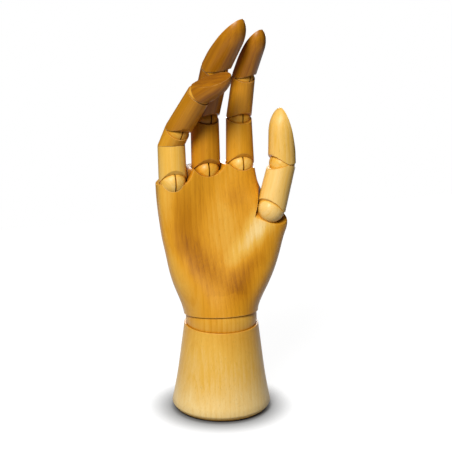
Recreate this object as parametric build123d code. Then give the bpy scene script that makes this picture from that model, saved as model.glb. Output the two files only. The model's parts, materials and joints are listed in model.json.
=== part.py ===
from build123d import *
from collections import namedtuple
from math import atan2, cos, degrees, exp, pi, radians, sin, sqrt, tan
import os

os.makedirs("parts", exist_ok=True)

# Articulated wooden hand on a turned foot.  Millimetres, +Z up, palm facing -Y,
# thumb on the +X side.  The origin is the middle of the foot's resting face.

# Turned foot
foot_height = 66.7
foot_rim_radius = 27.4
foot_waist_height = 36.0
foot_waist_radius = 31.4
foot_flare_height = 5.2
foot_flare_radius = 36.8
foot_contact_radius = 29.5

# Wrist ball between the foot and the palm
wrist_ball_radius = 26.3
wrist_half_gap = 4.0
wrist_lean_back = 9.0
wrist_tilt_room = 17.0
cup_clearance = 0.1

# Clamping rod, spring, washer and nut inside the foot
rod_radius = 3.0
rod_clearance = 0.3
rod_end_gap = 1.0
rod_split = 1.6
rod_palm_reach = 46.0
rod_glue_gap = 0.05
spring_well_radius = 13.0
spring_well_depth = 34.0
spring_radius = 9.0
spring_wall = 2.0
nut_end_gap = 4.4
washer_radius = 11.0
washer_thickness = 1.6
nut_across_flats = 10.0
nut_thickness = 5.0
nut_thread_gap = 0.05
foot_plug_thickness = 3.0
foot_plug_gap = 0.05

# Carved palm, measured up from the wrist ball's centre
palm_heights = (4.0, 9.0, 18.0, 28.0, 44.0, 60.0, 72.0, 82.0, 94.0, 108.0, 122.0)
palm_left_widths = (27.4, 28.5, 31.6, 35.2, 38.8, 41.6, 43.0, 43.8, 44.3, 44.2, 44.0)
palm_right_widths = (27.4, 28.2, 31.2, 33.8, 35.4, 36.2, 36.2, 33.8, 31.0, 29.0, 27.0)
palm_front_depths = (27.4, 26.9, 25.5, 23.4, 19.8, 17.0, 15.4, 14.4, 13.4, 12.9, 12.7)
palm_back_depths = (27.4, 26.6, 24.6, 22.0, 18.6, 16.0, 14.6, 13.8, 13.2, 12.8, 12.6)
palm_square_shares = (1.0, 1.0, 1.0, 1.04, 1.1, 1.2, 1.34, 1.5, 1.7, 1.9, 2.0)
palm_mound_widths = (0.0, 0.5, 2.2, 4.8, 9.4, 13.4, 14.9, 9.4, 2.0, 0.4, 0.0)
palm_mound_depths = (0.0, 0.2, 1.0, 2.2, 3.8, 5.2, 5.8, 4.6, 1.6, 0.2, 0.0)
palm_hollow_depths = (0.0, 0.3, 1.0, 2.2, 3.4, 4.0, 3.8, 3.2, 2.6, 2.4, 2.4)
palm_hollow_place_shares = (-0.1, -0.1, -0.1, -0.14, -0.25, -0.38, -0.42, -0.36, -0.2, 0.1, 0.1)
palm_hollow_width_share = 0.5
palm_mound_angle = -28.0
palm_mound_spread = 42.0
palm_outline_points = 36
palm_crown_left_drop = 1.5
palm_crown_middle_rise = 4.8
palm_crown_right_drop = 1.7
palm_crown_middle_place = 4.0
palm_crown_slant = 5.0
palm_socket_gap = 0.6
palm_scallop_radius = 14.0
palm_scallop_drop = 1.0
palm_scallop_dip = 17.7
thumb_shoulder_drop = 4.6
thumb_shoulder_lean = 42.0
thumb_scoop_spread = 3.0
thumb_scoop_depth = 3.0
thumb_slot_turn = 106.0

# Ball joints of the fingers
cup_wall = 0.7
joint_clearance = 0.08
rim_gap = 0.4
relief_start_angle = 30.0
slot_width = 1.1
slot_clearance = 0.2

# Tension wires and the springs that pull them
wire_radius = 0.4
wire_bore_radius = 0.5
wire_split = 0.9
tip_wire_length = 20.0
finger_spring_radius = 2.0
finger_spring_wall = 0.6
finger_spring_length = 24.0
finger_spring_cover = 4.0
finger_spring_clearance = 0.1

# Little finger's elbow and the pin on which it turns
elbow_seam_gap = 0.2
pin_radius = 1.0
pin_depth = 8.0
pin_reach = 1.5
pin_clearance = 0.06
elbow_floor = 2.5

# Fingertips: a long dome with one flat sanded on the nail side
dome_length_share = 2.0
dome_shares = (0.0, 0.3, 0.5, 0.68, 0.82, 0.92, 0.98)
dome_set_back_share = 0.06
dome_crown_share = 0.7
nail_start_share = 0.1
nail_depth_share = 1.1

overrun = 60.0

# One wooden piece, from the centre of the ball below it to that of the ball above.
# turn and bend are the rest pose: turn swings the ball about the piece below, then
# bend tips this piece towards its own palm side.
Piece = namedtuple("Piece", "name length turn bend low_radius top_radius top_bevel relief_share")
Finger = namedtuple("Finger", "x y z splay pieces")

fingers = {
    "little_finger": Finger(-32.9, -3.8, 102.9, 0.0, (
        Piece("lower_phalanx", 27.0, 0.0, 1.0, 10.3, 10.0, 0.0, 0.93),
        Piece("elbow", 13.0, 28.0, 34.0, 10.0, 9.3, 12.0, 0.0),
        Piece("upper_phalanx", 38.5, -17.0, 12.0, 9.3, 9.0, 16.0, 1.3),
        Piece("tip", 29.8, 60.0, 22.0, 9.0, 8.8, 0.0, 0.85),
    )),
    "middle_finger": Finger(-6.9, -1.0, 109.6, 0.0, (
        Piece("lower_phalanx", 39.0, 0.0, 4.0, 10.6, 10.3, 24.0, 0.93),
        Piece("upper_phalanx", 39.5, 16.0, 24.0, 10.3, 10.2, 14.0, 0.87),
        Piece("tip", 48.2, 14.0, 15.0, 10.2, 9.9, 0.0, 0.87),
    )),
    "index_finger": Finger(18.9, -2.0, 112.3, 0.0, (
        Piece("lower_phalanx", 34.7, 0.0, 3.0, 10.4, 9.4, 24.0, 0.93),
        Piece("upper_phalanx", 32.8, 6.0, 20.0, 9.2, 8.4, 10.0, 0.87),
        Piece("tip", 42.4, 18.0, 15.0, 8.3, 8.0, 0.0, 0.87),
    )),
    "thumb": Finger(37.5, -14.0, 79.0, 16.6, (
        Piece("lower_phalanx", 34.4, -46.0, 0.0, 10.9, 10.2, 33.0, 0.62),
        Piece("tip", 41.5, -30.0, 16.5, 10.2, 9.7, 0.0, 0.75),
    )),
}

# Frames
wrist_frame = Pos(0, 0, foot_height + wrist_half_gap)
palm_frame = wrist_frame * Rot(X=-wrist_lean_back)


def root_frame(finger):
    """Where a finger's first ball sits in the palm, with +Z up the finger."""
    return palm_frame * Pos(finger.x, finger.y, finger.z) * Rot(Y=finger.splay)


def finger_frames(finger):
    """Ball frame and wood frame of each piece of one finger, in the rest pose."""
    frames = []
    below = root_frame(finger)
    for piece in finger.pieces:
        ball_frame = below * Rot(Z=piece.turn)
        wood_frame = ball_frame * Rot(X=piece.bend)
        frames.append((ball_frame, wood_frame))
        below = wood_frame * Pos(0, 0, piece.length)
    return frames


def ball_radius(piece):
    """The ball fills the cup of the piece that stands on it."""
    return piece.low_radius - cup_wall


def tube(outer_radius, inner_radius, low, high):
    """Plain ring between two heights on the Z axis."""
    height = high - low
    ring = Cylinder(outer_radius, height) - Cylinder(inner_radius, height + overrun)
    return Pos(0, 0, (low + high) / 2) * ring


def bar(radius, low, high):
    """Plain round bar between two heights on the Z axis."""
    return Pos(0, 0, (low + high) / 2) * Cylinder(radius, high - low)


def prism_across(outline, width):
    """Solid of a closed side outline, drawn in Y and Z, as wide as given along X."""
    face = make_face(Plane.YZ * outline)
    return extrude(face, width / 2, both=True)


# Foot and wrist
def foot():
    """Turned foot: a cup at the top, a concave flare and a rounded lower edge."""
    with BuildSketch(Plane.XZ) as profile:
        with BuildLine():
            rim = Line((foot_rim_radius, foot_height), (foot_waist_radius, foot_waist_height))
            flare = TangentArc(rim @ 1, (foot_flare_radius, foot_flare_height), tangent=rim % 1)
            TangentArc((foot_contact_radius, 0), flare @ 1, tangent=(1, 0))
            Polyline(
                (foot_contact_radius, 0),
                (0, 0),
                (0, foot_height),
                rim @ 0,
            )
        make_face()
    body = revolve(profile.sketch, Axis.Z)
    body -= wrist_frame * Sphere(wrist_ball_radius + cup_clearance)
    body -= bar(spring_well_radius, -spring_well_depth, spring_well_depth)
    body -= bar(rod_radius + rod_clearance, 0, foot_height)
    return body


def wrist_ball():
    """Ball with a round hole below and a tilting slot above for the rod."""
    ball = Sphere(wrist_ball_radius)
    hole_radius = rod_radius + rod_clearance
    ball -= bar(hole_radius, -overrun, 0)
    reach = wrist_ball_radius * tan(radians(wrist_tilt_room)) + hole_radius
    slot = Polyline(
        (-hole_radius, -rod_split),
        (hole_radius, -rod_split),
        (hole_radius, 0),
        (reach, wrist_ball_radius),
        (-reach, wrist_ball_radius),
        (-hole_radius, 0),
        close=True,
    )
    ball -= prism_across(slot, 2 * hole_radius)
    return wrist_frame * ball


def foot_rod():
    """Lower half of the clamping rod, from just above the plug to the ball's centre."""
    return bar(rod_radius, foot_plug_thickness + rod_end_gap, foot_height + wrist_half_gap - rod_split)


def palm_rod():
    """Upper half of the clamping rod, glued into the palm."""
    return palm_frame * bar(rod_radius, rod_split, rod_palm_reach)


def nut_top():
    """Height of the tightened nut's upper face, clear of the plug below it."""
    return foot_plug_thickness + nut_end_gap + nut_thickness


def wrist_spring():
    """Compression spring that pulls the palm down on the ball."""
    low = nut_top() + washer_thickness
    return tube(spring_radius, spring_radius - spring_wall, low, spring_well_depth)


def wrist_washer():
    """Washer under the spring."""
    low = nut_top()
    return tube(washer_radius, rod_radius + rod_clearance, low, low + washer_thickness)


def wrist_nut():
    """Hexagon nut under the washer."""
    top = nut_top()
    hexagon = RegularPolygon(nut_across_flats / 2, 6, major_radius=False)
    nut = Pos(0, 0, top - nut_thickness) * extrude(hexagon, nut_thickness)
    nut -= bar(rod_radius + nut_thread_gap, 0, top)
    return nut


def foot_plug():
    """Wooden disc glued into the mouth of the spring well, flush with the foot."""
    return bar(spring_well_radius - foot_plug_gap, 0, foot_plug_thickness)


# Palm
def palm_outline(level):
    """Closed outline of the palm at one height.

    A superellipse with its own half width or depth on each side, a mound pushed out
    towards the thumb and a shallow hollow pressed into the palm side.
    """
    power = 1 / palm_square_shares[level]
    corners = []
    for step in range(palm_outline_points):
        angle = 2 * pi * step / palm_outline_points
        across = cos(angle)
        along = sin(angle)
        width = palm_right_widths[level] if across > 0 else palm_left_widths[level]
        depth = palm_back_depths[level] if along > 0 else palm_front_depths[level]
        across_share = abs(across) ** power * (1 if across > 0 else -1)
        along_share = abs(along) ** power * (1 if along > 0 else -1)
        turn = (degrees(angle) + 180 - palm_mound_angle) % 360 - 180
        mound_share = exp(-((turn / palm_mound_spread) ** 4))
        press = (across_share - palm_hollow_place_shares[level]) / palm_hollow_width_share
        hollow = palm_hollow_depths[level] * exp(-(press ** 2)) * max(0, -along_share)
        x = width * across_share + palm_mound_widths[level] * mound_share
        y = depth * along_share - palm_mound_depths[level] * mound_share + hollow
        corners.append((x, y))
    outline = Spline(*corners, periodic=True)
    return Pos(0, 0, palm_heights[level]) * make_face(outline)


def palm_crown():
    """Everything above the arched end of the palm, which follows the fingers' feet."""
    left = -max(palm_left_widths)
    right = palm_right_widths[-1]
    left_height = fingers["little_finger"].z - palm_crown_left_drop
    middle_height = fingers["middle_finger"].z + palm_crown_middle_rise
    right_height = fingers["index_finger"].z - palm_crown_right_drop
    arch = ThreePointArc(
        (left, left_height),
        (palm_crown_middle_place, middle_height),
        (right, right_height),
    )
    top = middle_height + overrun
    rest = Polyline(
        arch @ 1,
        (right + overrun, right_height - overrun / 2),
        (right + overrun, top),
        (left - overrun, top),
        (left - overrun, left_height - overrun / 2),
        arch @ 0,
    )
    face = make_face(Plane.XZ * (Curve() + [arch, rest]))
    pivot = Pos(0, 0, middle_height)
    slab = extrude(face, overrun, both=True)
    return pivot * Rot(X=palm_crown_slant) * pivot.inverse() * slab


def bevel_wedge(radius, bevel):
    """Space in front of a ball, above a face that slopes down to the palm side."""
    reach = radius + overrun
    outline = Polyline(
        (0, -rim_gap / 2),
        (-reach, -rim_gap / 2 - reach * tan(radians(bevel))),
        (-reach, radius),
        (0, radius),
        close=True,
    )
    return prism_across(outline, 2 * radius)


def palm_socket(finger):
    """Cuts for a finger's ball and first piece, scalloped where the finger bends."""
    piece = finger.pieces[0]
    scallop = Rot(X=90) * bar(palm_scallop_radius, 0, overrun)
    return [
        bar(piece.low_radius + palm_socket_gap, -rim_gap / 2, overrun),
        Rot(X=palm_scallop_dip) * Pos(0, 0, palm_scallop_radius - palm_scallop_drop) * scallop,
        Sphere(ball_radius(piece) + joint_clearance),
    ]


def thumb_socket(finger):
    """Cuts for the thumb's ball, above a shoulder that slopes to the palm side."""
    piece = finger.pieces[0]
    clear_radius = piece.low_radius + rim_gap
    wide_radius = clear_radius + overrun * tan(radians(thumb_scoop_spread))
    scoop = Pos(0, 0, overrun / 2 - thumb_scoop_depth) * Cone(clear_radius, wide_radius, overrun)
    side = Pos(overrun / 2, 0, overrun / 2) * Box(overrun, 2 * overrun, overrun)
    front = Pos(0, -overrun / 2, overrun / 2) * Box(2 * clear_radius, overrun, overrun)
    shoulder = Rot(X=thumb_shoulder_lean) * Pos(0, 0, -thumb_shoulder_drop)
    return [
        scoop,
        shoulder * side,
        shoulder * front,
        Sphere(ball_radius(piece) + joint_clearance),
    ]


def spring_span(piece):
    """Bottom and top of the finger spring, below the ball's centre."""
    top = -ball_radius(piece) - finger_spring_cover
    return top - finger_spring_length, top


def spring_bore(finger):
    """Drilled hole under a socket for the wire and its spring."""
    piece = finger.pieces[0]
    low, high = spring_span(piece)
    bore = bar(finger_spring_radius + finger_spring_clearance, low, high)
    bore += bar(wire_bore_radius, high, 0)
    return bore


def palm():
    """Carved palm with the wrist cup, four sockets and their drilled holes."""
    levels = range(len(palm_heights))
    body = loft([palm_outline(level) for level in levels])
    for name, finger in fingers.items():
        place = palm_frame.inverse() * root_frame(finger)
        socket = thumb_socket(finger) if name == "thumb" else palm_socket(finger)
        for cut in socket + [spring_bore(finger)]:
            body -= place * cut
    body -= palm_crown()
    body -= Sphere(wrist_ball_radius + cup_clearance)
    body -= bar(rod_radius + rod_glue_gap, 0, rod_palm_reach)
    return palm_frame * body


# Fingers
def relief(piece):
    """Hollow cut across the palm side of a piece's lower end, so that it can bend."""
    apex = piece.low_radius * piece.relief_share
    start = (0, rim_gap / 2)
    slope = radians(relief_start_angle)
    reach = piece.low_radius
    hollow = TangentArc(start, (-reach, apex), tangent=(-cos(slope), sin(slope)))
    edge = Polyline(
        hollow @ 1,
        (-reach - overrun, apex),
        (-reach - overrun, -reach),
        (0, -reach),
        start,
    )
    return prism_across(Curve() + [hollow, edge], 4 * reach)


def lower_cup(piece):
    """Space for the ball under a piece."""
    return Sphere(ball_radius(piece) + joint_clearance)


def upper_cup(piece, above):
    """Space for the ball on top of a piece, with its bevel turned to the palm side."""
    space = Sphere(ball_radius(above) + joint_clearance)
    space += Rot(Z=above.turn) * bevel_wedge(2 * piece.top_radius, piece.top_bevel)
    return Pos(0, 0, piece.length) * space


def phalanx(piece, above):
    """Turned, slightly tapered piece between two balls, bored for the wire."""
    height = piece.length - rim_gap
    body = Pos(0, 0, piece.length / 2) * Cone(piece.low_radius, piece.top_radius, height)
    body -= lower_cup(piece)
    body -= relief(piece)
    body -= upper_cup(piece, above)
    body -= bar(wire_bore_radius, 0, piece.length)
    return body


def little_lower_phalanx(piece, elbow):
    """Lower piece of the little finger, flat on top where the elbow turns."""
    top = piece.length - elbow_seam_gap / 2
    low = rim_gap / 2
    body = Pos(0, 0, (top + low) / 2) * Cone(piece.low_radius, elbow.low_radius, top - low)
    body -= lower_cup(piece)
    body -= relief(piece)
    body -= bar(wire_bore_radius, 0, piece.length - pin_depth)
    body -= bar(pin_radius, piece.length - pin_depth, piece.length)
    return body


def elbow(piece, above):
    """Short bent piece: a flat foot on the pin and a cup on the leaning end."""
    seam = Rot(X=-piece.bend) * Pos(0, 0, elbow_seam_gap / 2) * Circle(piece.low_radius)
    mouth = Pos(0, 0, piece.length - rim_gap / 2) * Circle(piece.top_radius)
    body = loft([seam, mouth])
    body -= upper_cup(piece, above)
    body -= Rot(X=-piece.bend) * bar(pin_radius + pin_clearance, 0, pin_reach + pin_clearance)
    body -= bar(wire_bore_radius, elbow_floor, piece.length)
    return body


def elbow_pin(piece):
    """Steel pin, driven into the lower piece, on which the elbow turns."""
    return bar(pin_radius, piece.length - pin_depth, piece.length + pin_reach)


def fingertip(piece):
    """Last piece: a straight barrel, a long dome and a flat on the nail side."""
    dome_length = dome_length_share * piece.top_radius
    dome_start = piece.length - dome_length
    barrel_height = dome_start - rim_gap / 2
    middle = (dome_start + rim_gap / 2) / 2
    body = Pos(0, 0, middle) * Cone(piece.low_radius, piece.top_radius, barrel_height)
    rings = []
    for share in dome_shares:
        radius = piece.top_radius * sqrt(1 - share ** 2)
        set_back = piece.top_radius * dome_set_back_share * share ** 2
        place = Pos(0, set_back, dome_start + dome_length * share)
        rings.append(place * Circle(radius))
    dome = loft(rings)
    cap_radius = piece.top_radius * sqrt(1 - dome_shares[-1] ** 2)
    cap = dome.edges().group_by(Axis.Z)[-1]
    dome = fillet(cap, cap_radius * dome_crown_share)
    body += dome
    body -= nail_flat(piece)
    body -= lower_cup(piece)
    body -= relief(piece)
    body -= bar(wire_bore_radius, 0, tip_wire_length)
    return body


def nail_flat(piece):
    """Block that sands the nail side flat, sloping in towards the tip."""
    start = piece.low_radius * nail_start_share
    slope = degrees(atan2(piece.low_radius * nail_depth_share, piece.length - start))
    block = Pos(0, overrun / 2, 0) * Box(overrun, overrun, 2 * overrun)
    return Pos(0, piece.low_radius, start) * Rot(X=slope) * block


def joint_ball(piece):
    """Wooden ball with a slot in which the wire can bend."""
    radius = ball_radius(piece)
    back = wire_radius + slot_clearance
    slot = Box(slot_width, radius + back, 2 * radius)
    return Sphere(radius) - Pos(0, back - (radius + back) / 2, 0) * slot


def wire(low, high):
    """Straight steel wire between two heights."""
    return bar(wire_radius, low, high)


def root_wire(finger):
    """Wire from the spring in the palm to the centre of the first ball."""
    low, high = spring_span(finger.pieces[0])
    return wire(low, -wire_split)


def finger_spring(finger):
    """Close-wound spring under a socket, drawn as a sleeve."""
    low, high = spring_span(finger.pieces[0])
    inner_radius = finger_spring_radius - finger_spring_wall
    return tube(finger_spring_radius, inner_radius, low, high)


# All pieces, each under the name of its node
def finger_nodes(name, finger):
    """Every piece of one finger."""
    nodes = {}
    place = root_frame(finger)
    nodes[f"{name}_spring"] = place * finger_spring(finger)
    nodes[f"{name}_root_wire"] = place * root_wire(finger)
    frames = finger_frames(finger)
    last = len(finger.pieces) - 1
    for number, piece in enumerate(finger.pieces):
        ball_frame, wood_frame = frames[number]
        above = finger.pieces[number + 1] if number < last else None
        key = f"{name}_{piece.name}"
        if piece.name == "elbow":
            nodes[key] = wood_frame * elbow(piece, above)
            nodes[f"{key}_wire"] = wood_frame * wire(elbow_floor, piece.length - wire_split)
            continue
        spin = thumb_slot_turn if key == "thumb_lower_phalanx" else 0
        nodes[f"{key}_ball"] = ball_frame * Rot(Z=spin) * joint_ball(piece)
        if above is None:
            nodes[key] = wood_frame * fingertip(piece)
            nodes[f"{key}_wire"] = wood_frame * wire(wire_split, tip_wire_length)
        elif above.name == "elbow":
            nodes[key] = wood_frame * little_lower_phalanx(piece, above)
            nodes[f"{key}_wire"] = wood_frame * wire(wire_split, piece.length - pin_depth)
            nodes[f"{name}_elbow_pin"] = wood_frame * elbow_pin(piece)
        else:
            nodes[key] = wood_frame * phalanx(piece, above)
            nodes[f"{key}_wire"] = wood_frame * wire(wire_split, piece.length - wire_split)
    return nodes


def all_nodes():
    """The whole hand."""
    nodes = {
        "foot": foot(),
        "wrist_ball": wrist_ball(),
        "foot_rod": foot_rod(),
        "palm_rod": palm_rod(),
        "wrist_spring": wrist_spring(),
        "wrist_washer": wrist_washer(),
        "wrist_nut": wrist_nut(),
        "foot_plug": foot_plug(),
        "palm": palm(),
    }
    for name, finger in fingers.items():
        nodes.update(finger_nodes(name, finger))
    return nodes


for node_name, solid in all_nodes().items():
    export_step(solid, f"parts/{node_name}.step")
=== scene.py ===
import bmesh, bpy, json, math
import numpy as np
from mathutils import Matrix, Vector

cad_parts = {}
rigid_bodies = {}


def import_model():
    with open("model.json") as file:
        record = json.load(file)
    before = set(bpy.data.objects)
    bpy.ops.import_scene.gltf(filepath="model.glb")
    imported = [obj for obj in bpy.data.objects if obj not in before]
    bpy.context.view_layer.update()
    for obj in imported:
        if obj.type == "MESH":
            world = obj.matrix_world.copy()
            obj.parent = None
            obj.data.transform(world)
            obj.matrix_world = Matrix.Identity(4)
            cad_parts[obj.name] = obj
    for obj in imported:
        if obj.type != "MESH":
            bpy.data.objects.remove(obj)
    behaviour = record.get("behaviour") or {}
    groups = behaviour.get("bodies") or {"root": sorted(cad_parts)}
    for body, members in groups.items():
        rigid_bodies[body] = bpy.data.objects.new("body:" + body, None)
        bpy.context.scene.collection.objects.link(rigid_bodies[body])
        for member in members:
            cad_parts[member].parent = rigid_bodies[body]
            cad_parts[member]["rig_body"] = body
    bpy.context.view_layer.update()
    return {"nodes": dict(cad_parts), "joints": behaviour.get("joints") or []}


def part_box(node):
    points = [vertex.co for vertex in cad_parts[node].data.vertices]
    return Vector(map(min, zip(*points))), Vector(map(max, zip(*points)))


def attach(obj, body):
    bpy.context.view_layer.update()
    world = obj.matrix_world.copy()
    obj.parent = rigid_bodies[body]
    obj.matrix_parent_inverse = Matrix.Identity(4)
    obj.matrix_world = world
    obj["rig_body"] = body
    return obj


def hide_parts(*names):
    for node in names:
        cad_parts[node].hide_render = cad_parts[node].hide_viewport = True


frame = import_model()
nodes = frame["nodes"]
joints = frame["joints"]

# The foot: a turned block of pale hardwood with a cup at the top for the wrist ball.
# It is dipped in honey stain and varnished satin, and its grain runs straight up.
upright = (0, 0, 1)
foot_stain = 0.24
# Painted light: the foot's stain thins toward the floor, where its flare faces the lamp above.
foot_painted_light_shades = ((0.0, 0.04), (0.6, 0.27), (1.0, 0.38))
foot_painted_light_middle = 0.30
stain_colours = (
    (0.00, (0.92, 0.66, 0.27, 1)),
    (0.25, (0.82, 0.46, 0.070, 1)),
    (0.50, (0.70, 0.305, 0.014, 1)),
    (0.70, (0.50, 0.190, 0.004, 1)),
    (0.85, (0.30, 0.098, 0.003, 1)),
    (1.00, (0.13, 0.038, 0.003, 1)),
)
# The pale edge colour is partly worn wood and partly a painted highlight along the rims.
rubbed_highlight_colour = (0.93, 0.66, 0.27, 1)
pore_colour = (0.20, 0.07, 0.008, 1)
varnish = {"Coat Weight": 0.06, "Coat Roughness": 0.36, "IOR": 1.36}
varnish_roughness = (0.36, 0.47)

# The grain of all the wood. Its layers have these waves a metre across the fibres, on
# X and Y, and along them, on Z, and add these shares of stain. A wave texture turns by
# wave_turn radians a unit of its own.
wave_turn = 20
ring_spacing = 0.0034
ring_shades = ((0.0, 0.10), (0.55, 0.40), (0.88, 1.0), (1.0, 0.15))
ring_wobble = 0.8
ring_wobble_along = 0.012
pith_distance = 0.045
pith_side_share = 0.6
sway_waves = (24.0, 24.0, 9.0)
sway_reach = (0.004, 0.004, 0.0)
pool_waves = (42.0, 42.0, 14.0)
strand_waves = (420.0, 420.0, 10.0)
strand_stain = 0.17
fibre_waves = (1700.0, 1700.0, 28.0)
fibre_shades = ((0.36, 0.0), (0.66, 1.0))
fibre_stain = 0.055
pore_waves = (2600.0, 2600.0, 170.0)
pore_shades = ((0.63, 0.0), (0.74, 1.0))
pore_strength = 0.22
pore_depth = -2.4
relief_strength = 0.12
relief_depth = 0.0001

# Painted shade that darkens seams, sockets and slits, edges painted pale as worn wood and as a painted
# highlight, and how a mesh is finished.
seam_reach = 0.005
seam_shades = ((0.12, 0.0), (0.85, 1.0))
seam_painted_shade = 0.42
rubbed_highlight_reach = 0.0006
rubbed_highlight_shades = ((0.01, 0.0), (0.14, 1.0))
rubbed_highlight_patches = (260.0, 260.0, 260.0)
wood_edge = 0.00018
sharp_angle = math.radians(35)
smooth_angle = math.radians(32)
weld_distance = 0.000002


def add(tree, kind, links=(), **values):
    """A shader node with its values, and with (socket, source) pairs linked or set."""
    node = tree.nodes.new(kind)
    for key, value in values.items():
        setattr(node, key, value)
    for socket, source in links:
        if isinstance(source, (int, float, tuple)):
            node.inputs[socket].default_value = source
        else:
            tree.links.new(source, node.inputs[socket])
    return node


def maths(tree, kind, *values, clamp=False):
    """One arithmetic step on numbers or sockets."""
    node = add(tree, "ShaderNodeMath", enumerate(values), operation=kind, use_clamp=clamp)
    return node.outputs[0]


def spread(tree, source, low, high):
    """A value that runs from 0 to 1, made to run from low to high."""
    node = add(tree, "ShaderNodeMapRange", [("Value", source), ("To Min", low), ("To Max", high)])
    return node.outputs[0]


def ramp(tree, source, stops, kind="LINEAR"):
    """A colour ramp: each stop is its place and its colour or grey value."""
    node = add(tree, "ShaderNodeValToRGB", [("Fac", source)])
    node.color_ramp.interpolation = kind
    while len(node.color_ramp.elements) < len(stops):
        node.color_ramp.elements.new(0.5)
    for element, (place, value) in zip(node.color_ramp.elements, stops):
        element.position = place
        element.color = value if isinstance(value, tuple) else (value, value, value, 1)
    return node.outputs["Color"]


def blend_colours(tree, share, first, second):
    """The first colour turned into the second by the share."""
    node = add(tree, "ShaderNodeMix", [(0, share), (6, first), (7, second)], data_type="RGBA")
    return node.outputs[2]


def scaled(tree, vector, scale, offset=(0, 0, 0)):
    """A vector times a scale on each axis, plus an offset."""
    node = add(tree, "ShaderNodeVectorMath", [(0, vector), (1, scale), (2, offset)],
               operation="MULTIPLY_ADD")
    return node.outputs[0]


def noise(tree, vector, waves, detail, roughness=0.5):
    """Noise with so many waves a metre on each axis, from coordinates in metres."""
    return add(tree, "ShaderNodeTexNoise", [("Vector", scaled(tree, vector, waves)), ("Scale", 1.0),
               ("Detail", detail), ("Roughness", roughness)])


def new_group(name, inputs, outputs):
    """An empty node group with its start and end, whose sockets are (name, kind) pairs."""
    group = bpy.data.node_groups.new(name, "ShaderNodeTree")
    for way, sockets in (("INPUT", inputs), ("OUTPUT", outputs)):
        for label, kind in sockets:
            group.interface.new_socket(label, in_out=way, socket_type="NodeSocket" + kind)
    return group, group.nodes.new("NodeGroupInput"), group.nodes.new("NodeGroupOutput")


def build_stained_grain():
    """Stained wood, with Z of its Vector along the fibres, in metres.

    Growth rings are a saw wave of the distance from a pith line beside the piece, swayed
    a little by slow noise. Fibres are noise stretched sixty times along Z, strands are a
    coarser one and pores the peaks of a finer one, and pools of stain are slow noise
    stretched three times. Their sum with the Stain input picks the colour from pale
    honey to brown. Height is up on fibres and down in pores.
    """
    group, start, end = new_group(
        "stained_grain",
        [("Vector", "Vector"), ("Stain", "Float"), ("Figure", "Float"), ("Pools", "Float"),
         ("Seed", "Float")],
        [("Color", "Color"), ("Roughness", "Float"), ("Height", "Float")])
    vector = start.outputs["Vector"]
    seed = add(group, "ShaderNodeCombineXYZ", [("X", start.outputs["Seed"]), ("Z", start.outputs["Seed"])])
    place = add(group, "ShaderNodeVectorMath", [(0, vector), (1, seed.outputs[0])],
                operation="ADD").outputs[0]
    swayed = scaled(group, noise(group, place, sway_waves, 2.0).outputs["Color"], sway_reach, vector)
    from_pith = scaled(group, swayed, (1.0, 1.0, ring_wobble_along),
                       (pith_distance, pith_side_share * pith_distance, 0.0))
    rings = add(group, "ShaderNodeTexWave",
                [("Vector", from_pith), ("Scale", 2 * math.pi / (wave_turn * ring_spacing)),
                 ("Distortion", ring_wobble), ("Detail", 2.0), ("Detail Scale", 0.7)],
                wave_type="RINGS", rings_direction="Z", wave_profile="SAW")
    late_wood = ramp(group, rings.outputs["Fac"], ring_shades)
    fibres = noise(group, swayed, fibre_waves, 3.0, roughness=0.6).outputs["Fac"]
    fibre_lines = ramp(group, fibres, fibre_shades)
    strands = noise(group, place, strand_waves, 2.0).outputs["Fac"]
    pools = noise(group, place, pool_waves, 3.0).outputs["Fac"]
    pores = noise(group, swayed, pore_waves, 1.0).outputs["Fac"]
    pore_marks = maths(group, "MULTIPLY", ramp(group, pores, pore_shades), pore_strength)

    total = maths(group, "MULTIPLY_ADD", late_wood, start.outputs["Figure"], start.outputs["Stain"])
    pooled = maths(group, "MULTIPLY", maths(group, "SUBTRACT", pools, 0.5), start.outputs["Pools"])
    total = maths(group, "ADD", total, pooled)
    total = maths(group, "MULTIPLY_ADD", maths(group, "SUBTRACT", strands, 0.5), strand_stain, total)
    total = maths(group, "MULTIPLY_ADD", maths(group, "SUBTRACT", fibre_lines, 0.5), fibre_stain, total,
                  clamp=True)
    colour = blend_colours(group, pore_marks, ramp(group, total, stain_colours), pore_colour)
    height = maths(group, "MULTIPLY_ADD", pore_marks, pore_depth, fibre_lines)
    group.links.new(colour, end.inputs["Color"])
    group.links.new(spread(group, fibre_lines, *varnish_roughness), end.inputs["Roughness"])
    group.links.new(height, end.inputs["Height"])
    return group


def build_rubbed_highlit_edges():
    """How far the surface turns within Reach metres, which is 0 on flats and 1 on edges, broken
    up by noise: edges painted pale, partly as wood worn by sanding and handling and partly as a painted
    highlight along the rims."""
    group, start, end = new_group(
        "rubbed_highlit_edges", [("Vector", "Vector"), ("Reach", "Float")], [("Mask", "Float")])
    eased = add(group, "ShaderNodeBevel", [("Radius", start.outputs["Reach"])], samples=6)
    flat = add(group, "ShaderNodeNewGeometry")
    same = add(group, "ShaderNodeVectorMath", [(0, eased.outputs[0]), (1, flat.outputs["Normal"])],
               operation="DOT_PRODUCT")
    turned = ramp(group, maths(group, "SUBTRACT", 1.0, same.outputs["Value"]), rubbed_highlight_shades)
    patchy = noise(group, start.outputs["Vector"], rubbed_highlight_patches, 2.0).outputs["Fac"]
    group.links.new(maths(group, "MULTIPLY", turned, patchy, clamp=True), end.inputs["Mask"])
    return group


def build_painted_seam_shade():
    """Painted shade in seams, sockets and slits, read from ambient occlusion: 0 on open wood
    and 1 where other wood stands within Reach metres all round."""
    group, start, end = new_group("painted_seam_shade", [("Reach", "Float")], [("Mask", "Float")])
    openness = add(group, "ShaderNodeAmbientOcclusion", [("Distance", start.outputs["Reach"])], samples=12)
    shut = maths(group, "SUBTRACT", 1.0, openness.outputs["AO"])
    group.links.new(ramp(group, shut, seam_shades), end.inputs["Mask"])
    return group


stained_grain = build_stained_grain()
rubbed_highlit_edges = build_rubbed_highlit_edges()
painted_seam_shade = build_painted_seam_shade()


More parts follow.
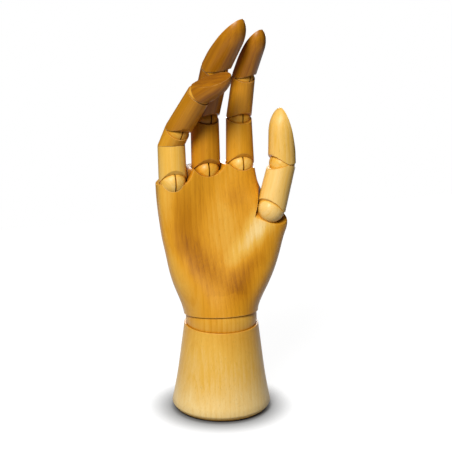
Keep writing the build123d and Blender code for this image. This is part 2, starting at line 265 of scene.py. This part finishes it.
def wood_finish(name, foot_point, along, stain, figure=0.12, pools=0.5, seed=0.0, rubbed_and_highlit=0.7, extra=None):
    """Varnished wood whose fibres start at foot_point and run in the direction along.

    stain is 0 for pale honey and 1 for brown, and extra may add stain, painted light and painted
    shade by place: it is a function of the tree and the piece's own coordinates. figure is the
    strength of the growth rings, pools of uneven stain, and rubbed_and_highlit of edges painted pale, as
    worn wood and as a painted highlight.
    """
    material = bpy.data.materials.new(name)
    material.use_nodes = True
    tree = material.node_tree
    coat = tree.nodes["Principled BSDF"]
    turn = Vector(upright).rotation_difference(Vector(along)).to_euler()
    where = add(tree, "ShaderNodeTexCoord")
    local = add(tree, "ShaderNodeMapping", [("Vector", where.outputs["Object"])], vector_type="TEXTURE")
    local.inputs["Location"].default_value = foot_point
    local.inputs["Rotation"].default_value = turn
    place = local.outputs[0]

    seams = add(tree, "ShaderNodeGroup", node_tree=painted_seam_shade)
    seams.inputs["Reach"].default_value = seam_reach
    # Painted shade: the seam mask adds stain where other wood closes round the surface.
    stain_and_painted_light = maths(tree, "MULTIPLY_ADD", seams.outputs["Mask"], seam_painted_shade, stain)
    if extra:
        stain_and_painted_light = maths(tree, "ADD", extra(tree, place), stain_and_painted_light)
    grain = add(tree, "ShaderNodeGroup", node_tree=stained_grain)
    for socket, source in (("Vector", place), ("Stain", stain_and_painted_light)):
        tree.links.new(source, grain.inputs[socket])
    for socket, value in (("Figure", figure), ("Pools", pools), ("Seed", seed)):
        grain.inputs[socket].default_value = value

    edges = add(tree, "ShaderNodeGroup", node_tree=rubbed_highlit_edges)
    tree.links.new(place, edges.inputs["Vector"])
    edges.inputs["Reach"].default_value = rubbed_highlight_reach
    # Painted highlight: pale colour along the edges, partly worn wood.
    pale = maths(tree, "MULTIPLY", edges.outputs["Mask"], rubbed_and_highlit)
    relief = add(tree, "ShaderNodeBump", [("Height", grain.outputs["Height"]), ("Strength", relief_strength),
                 ("Distance", relief_depth)])
    colour = blend_colours(tree, pale, grain.outputs["Color"], rubbed_highlight_colour)
    tree.links.new(colour, coat.inputs["Base Color"])
    tree.links.new(grain.outputs["Roughness"], coat.inputs["Roughness"])
    tree.links.new(relief.outputs[0], coat.inputs["Normal"])
    for socket, value in varnish.items():
        coat.inputs[socket].default_value = value
    return material


def dress(node, material, edge=wood_edge):
    """A finished copy of a CAD piece: its loose triangles are joined, its curved faces
    shaded smooth, and its sharp edges eased to a radius of edge, as sandpaper does."""
    work = bmesh.new()
    work.from_mesh(nodes[node].data)
    bmesh.ops.remove_doubles(work, verts=work.verts, dist=weld_distance)
    mesh = bpy.data.meshes.new(node + "_finished")
    work.to_mesh(mesh)
    work.free()
    mesh.polygons.foreach_set("use_smooth", np.ones(len(mesh.polygons), bool))
    mesh.set_sharp_from_angle(angle=smooth_angle)
    mesh.materials.append(material)
    piece = bpy.data.objects.new(node + "_finished", mesh)
    bpy.context.scene.collection.objects.link(piece)
    if edge:
        eased = piece.modifiers.new("eased_edges", "BEVEL")
        eased.width = edge
        eased.segments = 2
        eased.limit_method = "ANGLE"
        eased.angle_limit = sharp_angle
    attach(piece, nodes[node]["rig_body"])
    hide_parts(node)


def painted_light_below(tree, place):
    """Painted light: less stain toward the floor, where the flare faces up to the lamp, and a little more
    just under the cup's rim.
    """
    height = add(tree, "ShaderNodeSeparateXYZ", [("Vector", place)]).outputs["Z"]
    share = maths(tree, "DIVIDE", height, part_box("foot")[1][2])
    return maths(tree, "SUBTRACT", ramp(tree, share, foot_painted_light_shades, "EASE"), foot_painted_light_middle)


dress("foot", wood_finish("foot_wood", (0, 0, 0), upright, foot_stain, figure=0.06, pools=0.3, seed=0.31,
                          extra=painted_light_below))

# The foot's plug: a disc of the same wood, set into the underside to close the well of
# the wrist spring. Its grain lies across.
dress("foot_plug", wood_finish("plug_wood", (0, 0, 0), along=(1, 0, 0), stain=0.3, seed=0.77))

# The wrist ball: a turned ball of the same wood, gripped between foot and palm by a
# sprung rod. Its grain stands upright too.
wrist = next(Vector(j["pos_m"]) for j in joints if j["name"] == "wrist_turn")
dress("wrist_ball", wood_finish("wrist_ball_wood", wrist, upright, stain=0.36, seed=0.12))

# The palm: carved from one block and sanded round, its fibres running from the wrist
# to the fingers. Stain and painted shade darken the hollow and the side of the thumb's
# mound, in two bands that meet low down; a painted highlight lies on the mound's ridge, and painted light on
# the middle and on the rounded left edge.
palm_lean = math.radians(9)
palm_span = 0.122
palm_body_stain = 0.47

# Each band is a line down the palm, whose points are the height, the side and the
# strength, with its half width and the stain that it adds, painted light where that is
# less than 0. The hollow's first two points are at one height, so that its band starts there and not at the
# wrist.
hollow_stain_and_shade = ((0.020, 0.000, 0.0), (0.020, 0.000, 0.25), (0.030, -0.005, 0.75), (0.041, -0.014, 1.0),
               (0.052, -0.024, 1.0), (0.060, -0.029, 0.95), (0.071, -0.032, 0.85), (0.082, -0.026, 0.60),
               (0.094, -0.022, 0.50), (0.106, -0.024, 0.15))
mound_stain_and_shade = ((0.010, 0.004, 0.15), (0.021, 0.008, 0.75), (0.034, 0.013, 0.95), (0.042, 0.021, 0.85),
              (0.054, 0.028, 0.35), (0.066, 0.029, 0.0), (0.078, 0.022, 0.10), (0.088, 0.012, 0.60),
              (0.097, 0.018, 0.60), (0.106, 0.022, 0.25))
mound_ridge_highlight = ((0.036, 0.004, 0.0), (0.046, 0.010, 0.5), (0.056, 0.018, 0.9), (0.066, 0.026, 1.0),
               (0.076, 0.033, 0.7), (0.084, 0.038, 0.0))
painted_light_middle = ((0.040, 0.000, 0.3), (0.056, 0.004, 0.9), (0.072, 0.004, 1.0), (0.086, -0.002, 0.9),
                 (0.106, -0.004, 0.6))
painted_light_left_edge = ((0.0, -0.026, 0.2), (0.030, -0.035, 0.6), (0.060, -0.041, 1.0), (0.100, -0.043, 1.0))
# Two dark bands of stain and painted shade, then a painted highlight and painted light.
palm_stain_and_light_bands = (
    (hollow_stain_and_shade, 0.024, 0.22),
    (mound_stain_and_shade, 0.018, 0.25),
    (mound_ridge_highlight, 0.015, -0.46),
    (painted_light_middle, 0.012, -0.10),
    (painted_light_left_edge, 0.013, -0.16),
)
ragged_waves = (150.0, 150.0, 34.0)
ragged_reach = (0.010, 0.0, 0.008)
front_depth = 0.006


def stain_and_light_band(tree, place, line, width):
    """1 on the line down the palm and 0 a width beside it, times the line's own strength.

    The ramp holds the side, as a share of the palm's span moved by a half, in red and
    the strength in green.
    """
    axes = add(tree, "ShaderNodeSeparateXYZ", [("Vector", place)])
    height = maths(tree, "DIVIDE", axes.outputs["Z"], palm_span)
    stops = [(z / palm_span, (x / palm_span + 0.5, strength, 0, 1)) for z, x, strength in line]
    held = add(tree, "ShaderNodeSeparateColor", [("Color", ramp(tree, height, stops, "B_SPLINE"))])
    side = maths(tree, "MULTIPLY", maths(tree, "SUBTRACT", held.outputs[0], 0.5), palm_span)
    away = maths(tree, "ABSOLUTE", maths(tree, "SUBTRACT", axes.outputs["X"], side))
    shape = add(tree, "ShaderNodeMapRange",
                [("Value", away), ("From Max", width), ("To Min", 1.0), ("To Max", 0.0)],
                interpolation_type="SMOOTHSTEP")
    return maths(tree, "MULTIPLY", shape.outputs[0], held.outputs[1])


def palm_stain_and_light(tree, place):
    """The two dark bands of stain and painted shade, less the painted highlight on the mound
    and the painted light on the middle and left edge, with ragged sides, all on the front half of the palm."""
    ragged = noise(tree, place, ragged_waves, 3.0).outputs["Color"]
    moved = scaled(tree, ragged, ragged_reach, place)
    moved = scaled(tree, moved, (1.0, 1.0, 1.0), tuple(-0.5 * reach for reach in ragged_reach))
    total = 0.0
    for line, width, strength in palm_stain_and_light_bands:
        total = maths(tree, "MULTIPLY_ADD", stain_and_light_band(tree, moved, line, width), strength, total)
    depth = add(tree, "ShaderNodeSeparateXYZ", [("Vector", place)]).outputs["Y"]
    front = add(tree, "ShaderNodeMapRange",
                [("Value", depth), ("From Min", front_depth), ("From Max", -front_depth)],
                interpolation_type="SMOOTHSTEP")
    return maths(tree, "MULTIPLY", total, front.outputs[0])


palm_up = Vector((0, math.sin(palm_lean), math.cos(palm_lean)))
dress("palm", wood_finish("palm_wood", wrist, palm_up, palm_body_stain, figure=0.07, pools=0.35, seed=0.53,
                          extra=palm_stain_and_light))

# The fingers and thumb: turned pieces between slotted balls, each piece's fibres run
# from its own ball to the next and each ball's across them by a turn of its own. Their
# tones are partly uneven stain and partly painted light and shade: the thumb and the balls are pale, the
# upper pieces, which lean away from the light above, brown.
finger_stains_and_shade = {
    "little_finger_lower_phalanx": 0.20, "little_finger_elbow": 0.48, "little_finger_upper_phalanx": 0.66,
    "little_finger_tip": 0.82, "middle_finger_lower_phalanx": 0.61, "middle_finger_upper_phalanx": 0.80,
    "middle_finger_tip": 0.72, "index_finger_lower_phalanx": 0.46, "index_finger_upper_phalanx": 0.58,
    "index_finger_tip": 0.74, "thumb_lower_phalanx": 0.16, "thumb_tip": 0.20,
}
# The balls' levels are partly stain and partly painted light and shade, and the upper balls get painted
# shade like the upper pieces.
ball_stains_and_light = {"little": 0.22, "middle": 0.36, "index": 0.22, "thumb": 0.05}
upper_ball_stain_and_shade = 0.16
ball_edge = 0.00012
ball_grain_rise = 0.8
drawn_wire_names = ("wire", "spring", "pin")
base_of = {j["child"]: Vector(j["pos_m"]) for j in joints}
next_of = {j["parent"]: Vector(j["pos_m"]) for j in joints if j["parent"] not in ("foot", "palm")}


def far_corner(node, base):
    """The corner of a piece that lies furthest from its base."""
    corners = np.empty(3 * len(nodes[node].data.vertices), np.float32)
    nodes[node].data.vertices.foreach_get("co", corners)
    corners = corners.reshape(-1, 3).astype(float)
    return Vector(corners[np.argmax(((corners - np.array(base)) ** 2).sum(1))])


finger_nodes = [n for n in nodes if n.startswith(tuple(ball_stains_and_light))]
for number, node in enumerate(sorted(finger_nodes)):
    if node.endswith(drawn_wire_names):
        continue
    base = base_of[node]
    if node.endswith("_ball"):
        across = Vector((math.cos(number), math.sin(number), ball_grain_rise))
        stain = ball_stains_and_light[node.split("_")[0]]
        if "tip" in node or "upper" in node:
            stain += upper_ball_stain_and_shade
        finish = wood_finish(node + "_wood", base, across, stain, figure=0.08, seed=0.1 * number, rubbed_and_highlit=0)
        dress(node, finish, ball_edge)
    else:
        end = far_corner(node, base) if node.endswith("tip") else next_of[node]
        finish = wood_finish(node + "_wood", base, end - base, finger_stains_and_shade[node], figure=0.05, pools=0.3,
                             seed=0.17 * number)
        dress(node, finish)

# The steel inside: springs, wires and a pin of hard drawn wire, and the wrist's turned
# rod, washer and nut. All are left bright, with fine marks along them.
steel_colours = ((0.50, 0.50, 0.51, 1), (0.66, 0.66, 0.67, 1))
steel_roughness = (0.28, 0.46)
steel_marks = (900.0, 900.0, 60.0)
turned_steel_names = ("rod", "washer", "nut")

steel = bpy.data.materials.new("drawn_steel")
steel.use_nodes = True
tree = steel.node_tree
shine = tree.nodes["Principled BSDF"]
where = add(tree, "ShaderNodeTexCoord")
marks = noise(tree, where.outputs["Object"], steel_marks, 3.0).outputs["Fac"]
tree.links.new(blend_colours(tree, marks, *steel_colours), shine.inputs["Base Color"])
tree.links.new(spread(tree, marks, *steel_roughness), shine.inputs["Roughness"])
shine.inputs["Metallic"].default_value = 1.0
for node in nodes:
    if node.endswith(drawn_wire_names):
        dress(node, steel, edge=0)
    elif node.endswith(turned_steel_names):
        dress(node, steel, edge=0)

# The studio floor: paper that is white to the camera by a glow of its own, dimmed into a
# painted shadow close round the foot over the faint shadow the lamps cast, and grey where it only throws
# light back on the wood.
floor_reach = 0.5
painted_shadow_reach = 0.021
painted_shadow_power = 2.9
paper_glow = 0.95
seen_paper = (0.13, 0.13, 0.13, 1)
bounce_paper = (0.30, 0.30, 0.30, 1)

floor_mesh = bpy.data.meshes.new("floor")
floor_corners = [(x * floor_reach, y * floor_reach, 0) for x, y in ((-1, -1), (1, -1), (1, 1), (-1, 1))]
floor_mesh.from_pydata(floor_corners, [], [(0, 1, 2, 3)])
floor = bpy.data.objects.new("floor", floor_mesh)
bpy.context.scene.collection.objects.link(floor)
paper = bpy.data.materials.new("studio_paper")
paper.use_nodes = True
tree = paper.node_tree
tree.nodes.remove(tree.nodes["Principled BSDF"])
path = add(tree, "ShaderNodeLightPath").outputs
seen = maths(tree, "MAXIMUM", path["Is Camera Ray"], path["Is Glossy Ray"])
seen = maths(tree, "MAXIMUM", seen, path["Is Transmission Ray"])
# Painted shadow: the glow is dimmed where the foot closes round the paper.
near = add(tree, "ShaderNodeAmbientOcclusion", [("Distance", painted_shadow_reach)], samples=16)
painted_shadow = maths(tree, "POWER", near.outputs["AO"], painted_shadow_power)
glow = maths(tree, "MULTIPLY", painted_shadow, paper_glow)
white = add(tree, "ShaderNodeEmission", [("Color", (1, 1, 1, 1)), ("Strength", glow)])
shaded = add(tree, "ShaderNodeBsdfDiffuse", [("Color", seen_paper)])
bright = add(tree, "ShaderNodeAddShader", [(0, white.outputs[0]), (1, shaded.outputs[0])])
grey = add(tree, "ShaderNodeBsdfDiffuse", [("Color", bounce_paper)])
either = add(tree, "ShaderNodeMixShader", [(0, seen), (1, grey.outputs[0]), (2, bright.outputs[0])])
tree.links.new(either.outputs[0], tree.nodes["Material Output"].inputs["Surface"])
floor_mesh.materials.append(paper)

# The studio light: a broad lamp high at the front left and a weaker one low behind on
# the right, both turned to the middle of the hand. The surround is white to the camera
# and only faint on the wood.
lit_point = Vector((0, 0, 0.15))
surround_light = 0.05


def lamp(name, place, width, power):
    """A square soft lamp at place, width metres across, turned to the lit point."""
    data = bpy.data.lights.new(name, "AREA")
    data.size = width
    data.energy = power
    light = bpy.data.objects.new(name, data)
    bpy.context.scene.collection.objects.link(light)
    light.location = place
    light.rotation_euler = (lit_point - Vector(place)).to_track_quat("-Z", "Y").to_euler()


lamp("key", place=(-0.61, -0.91, 1.17), width=0.50, power=27)
lamp("behind", place=(0.55, 1.42, 0.36), width=0.60, power=13)

world = bpy.data.worlds.new("surround")
bpy.context.scene.world = world
world.use_nodes = True
tree = world.node_tree
path = add(tree, "ShaderNodeLightPath").outputs
seen = maths(tree, "MAXIMUM", path["Is Camera Ray"], path["Is Transmission Ray"])
back = tree.nodes["Background"]
back.inputs["Color"].default_value = (1, 1, 1, 1)
tree.links.new(spread(tree, seen, surround_light, 1.0), back.inputs["Strength"])

# The camera stands 1.1 m off to the front left, 0.17 m above the fingertips, and looks
# down at the palm. Its heading has look_right for a sine and look_ahead for a cosine.
camera_place = (-0.3032, -1.0574, 0.468)
look_right = 0.2787
look_ahead = 0.9604
look_down = math.radians(16.58)
focal_length = 125.27
sensor_width = 36

lens = bpy.data.cameras.new("camera")
lens.lens = focal_length
lens.sensor_width = sensor_width
camera = bpy.data.objects.new("camera", lens)
bpy.context.scene.collection.objects.link(camera)
camera.location = camera_place
look = Vector((look_right * math.cos(look_down), look_ahead * math.cos(look_down), -math.sin(look_down)))
camera.rotation_euler = look.to_track_quat("-Z", "Y").to_euler()
bpy.context.scene.camera = camera
bpy.context.scene.view_settings.view_transform = "Standard"
